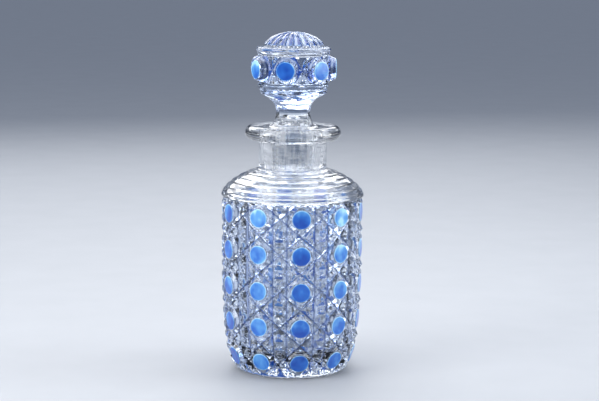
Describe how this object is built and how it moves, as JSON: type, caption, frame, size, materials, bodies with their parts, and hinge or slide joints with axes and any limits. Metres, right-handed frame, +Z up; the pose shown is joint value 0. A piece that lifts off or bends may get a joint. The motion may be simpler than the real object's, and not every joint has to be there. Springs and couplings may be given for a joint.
{
  "type": "perfume bottle",
  "caption": "Cut crystal toilet-water bottle with rows of blue glass discs on its round wall, a ringed shoulder, a flat lip and a lift-out stopper with a ribbed dome.",
  "frame": {"origin": "centre of the foot ring, on the surface the bottle stands on", "axes": "+Z up along the bottle's axis, out of the neck; -Y towards a viewer, through one column of discs; +X to the viewer's right"},
  "size_m": [0.0758, 0.0756, 0.18],
  "materials": {
    "clear_crystal": "clear, pressed and cut, polished",
    "blue_glass": "satin, milky blue"
  },
  "bodies": {
    "bottle": {"crystal_bottle": "clear_crystal", "body_disc_row1_col01": "blue_glass", "body_disc_row1_col02": "blue_glass", "body_disc_row1_col03": "blue_glass", "body_disc_row1_col04": "blue_glass", "body_disc_row1_col05": "blue_glass", "body_disc_row1_col06": "blue_glass", "body_disc_row1_col07": "blue_glass", "body_disc_row1_col08": "blue_glass", "body_disc_row1_col09": "blue_glass", "body_disc_row1_col10": "blue_glass", "body_disc_row2_col01": "blue_glass", "body_disc_row2_col02": "blue_glass", "body_disc_row2_col03": "blue_glass", "body_disc_row2_col04": "blue_glass", "body_disc_row2_col05": "blue_glass", "body_disc_row2_col06": "blue_glass", "body_disc_row2_col07": "blue_glass", "body_disc_row2_col08": "blue_glass", "body_disc_row2_col09": "blue_glass", "body_disc_row2_col10": "blue_glass", "body_disc_row3_col01": "blue_glass", "body_disc_row3_col02": "blue_glass", "body_disc_row3_col03": "blue_glass", "body_disc_row3_col04": "blue_glass", "body_disc_row3_col05": "blue_glass", "body_disc_row3_col06": "blue_glass", "body_disc_row3_col07": "blue_glass", "body_disc_row3_col08": "blue_glass", "body_disc_row3_col09": "blue_glass", "body_disc_row3_col10": "blue_glass", "body_disc_row4_col01": "blue_glass", "body_disc_row4_col02": "blue_glass", "body_disc_row4_col03": "blue_glass", "body_disc_row4_col04": "blue_glass", "body_disc_row4_col05": "blue_glass", "body_disc_row4_col06": "blue_glass", "body_disc_row4_col07": "blue_glass", "body_disc_row4_col08": "blue_glass", "body_disc_row4_col09": "blue_glass", "body_disc_row4_col10": "blue_glass", "body_disc_row5_col01": "blue_glass", "body_disc_row5_col02": "blue_glass", "body_disc_row5_col03": "blue_glass", "body_disc_row5_col04": "blue_glass", "body_disc_row5_col05": "blue_glass", "body_disc_row5_col06": "blue_glass", "body_disc_row5_col07": "blue_glass", "body_disc_row5_col08": "blue_glass", "body_disc_row5_col09": "blue_glass", "body_disc_row5_col10": "blue_glass"},
    "stopper": {"crystal_stopper": "clear_crystal", "stopper_disc_1": "blue_glass", "stopper_disc_2": "blue_glass", "stopper_disc_3": "blue_glass", "stopper_disc_4": "blue_glass", "stopper_disc_5": "blue_glass", "stopper_disc_6": "blue_glass", "stopper_disc_7": "blue_glass"}
  },
  "joints": [
    {"name": "stopper_lift", "type": "slide", "parent": "bottle", "child": "stopper", "axis": [0, 0, 1], "range_m": [0, 0.06]}
  ]
}
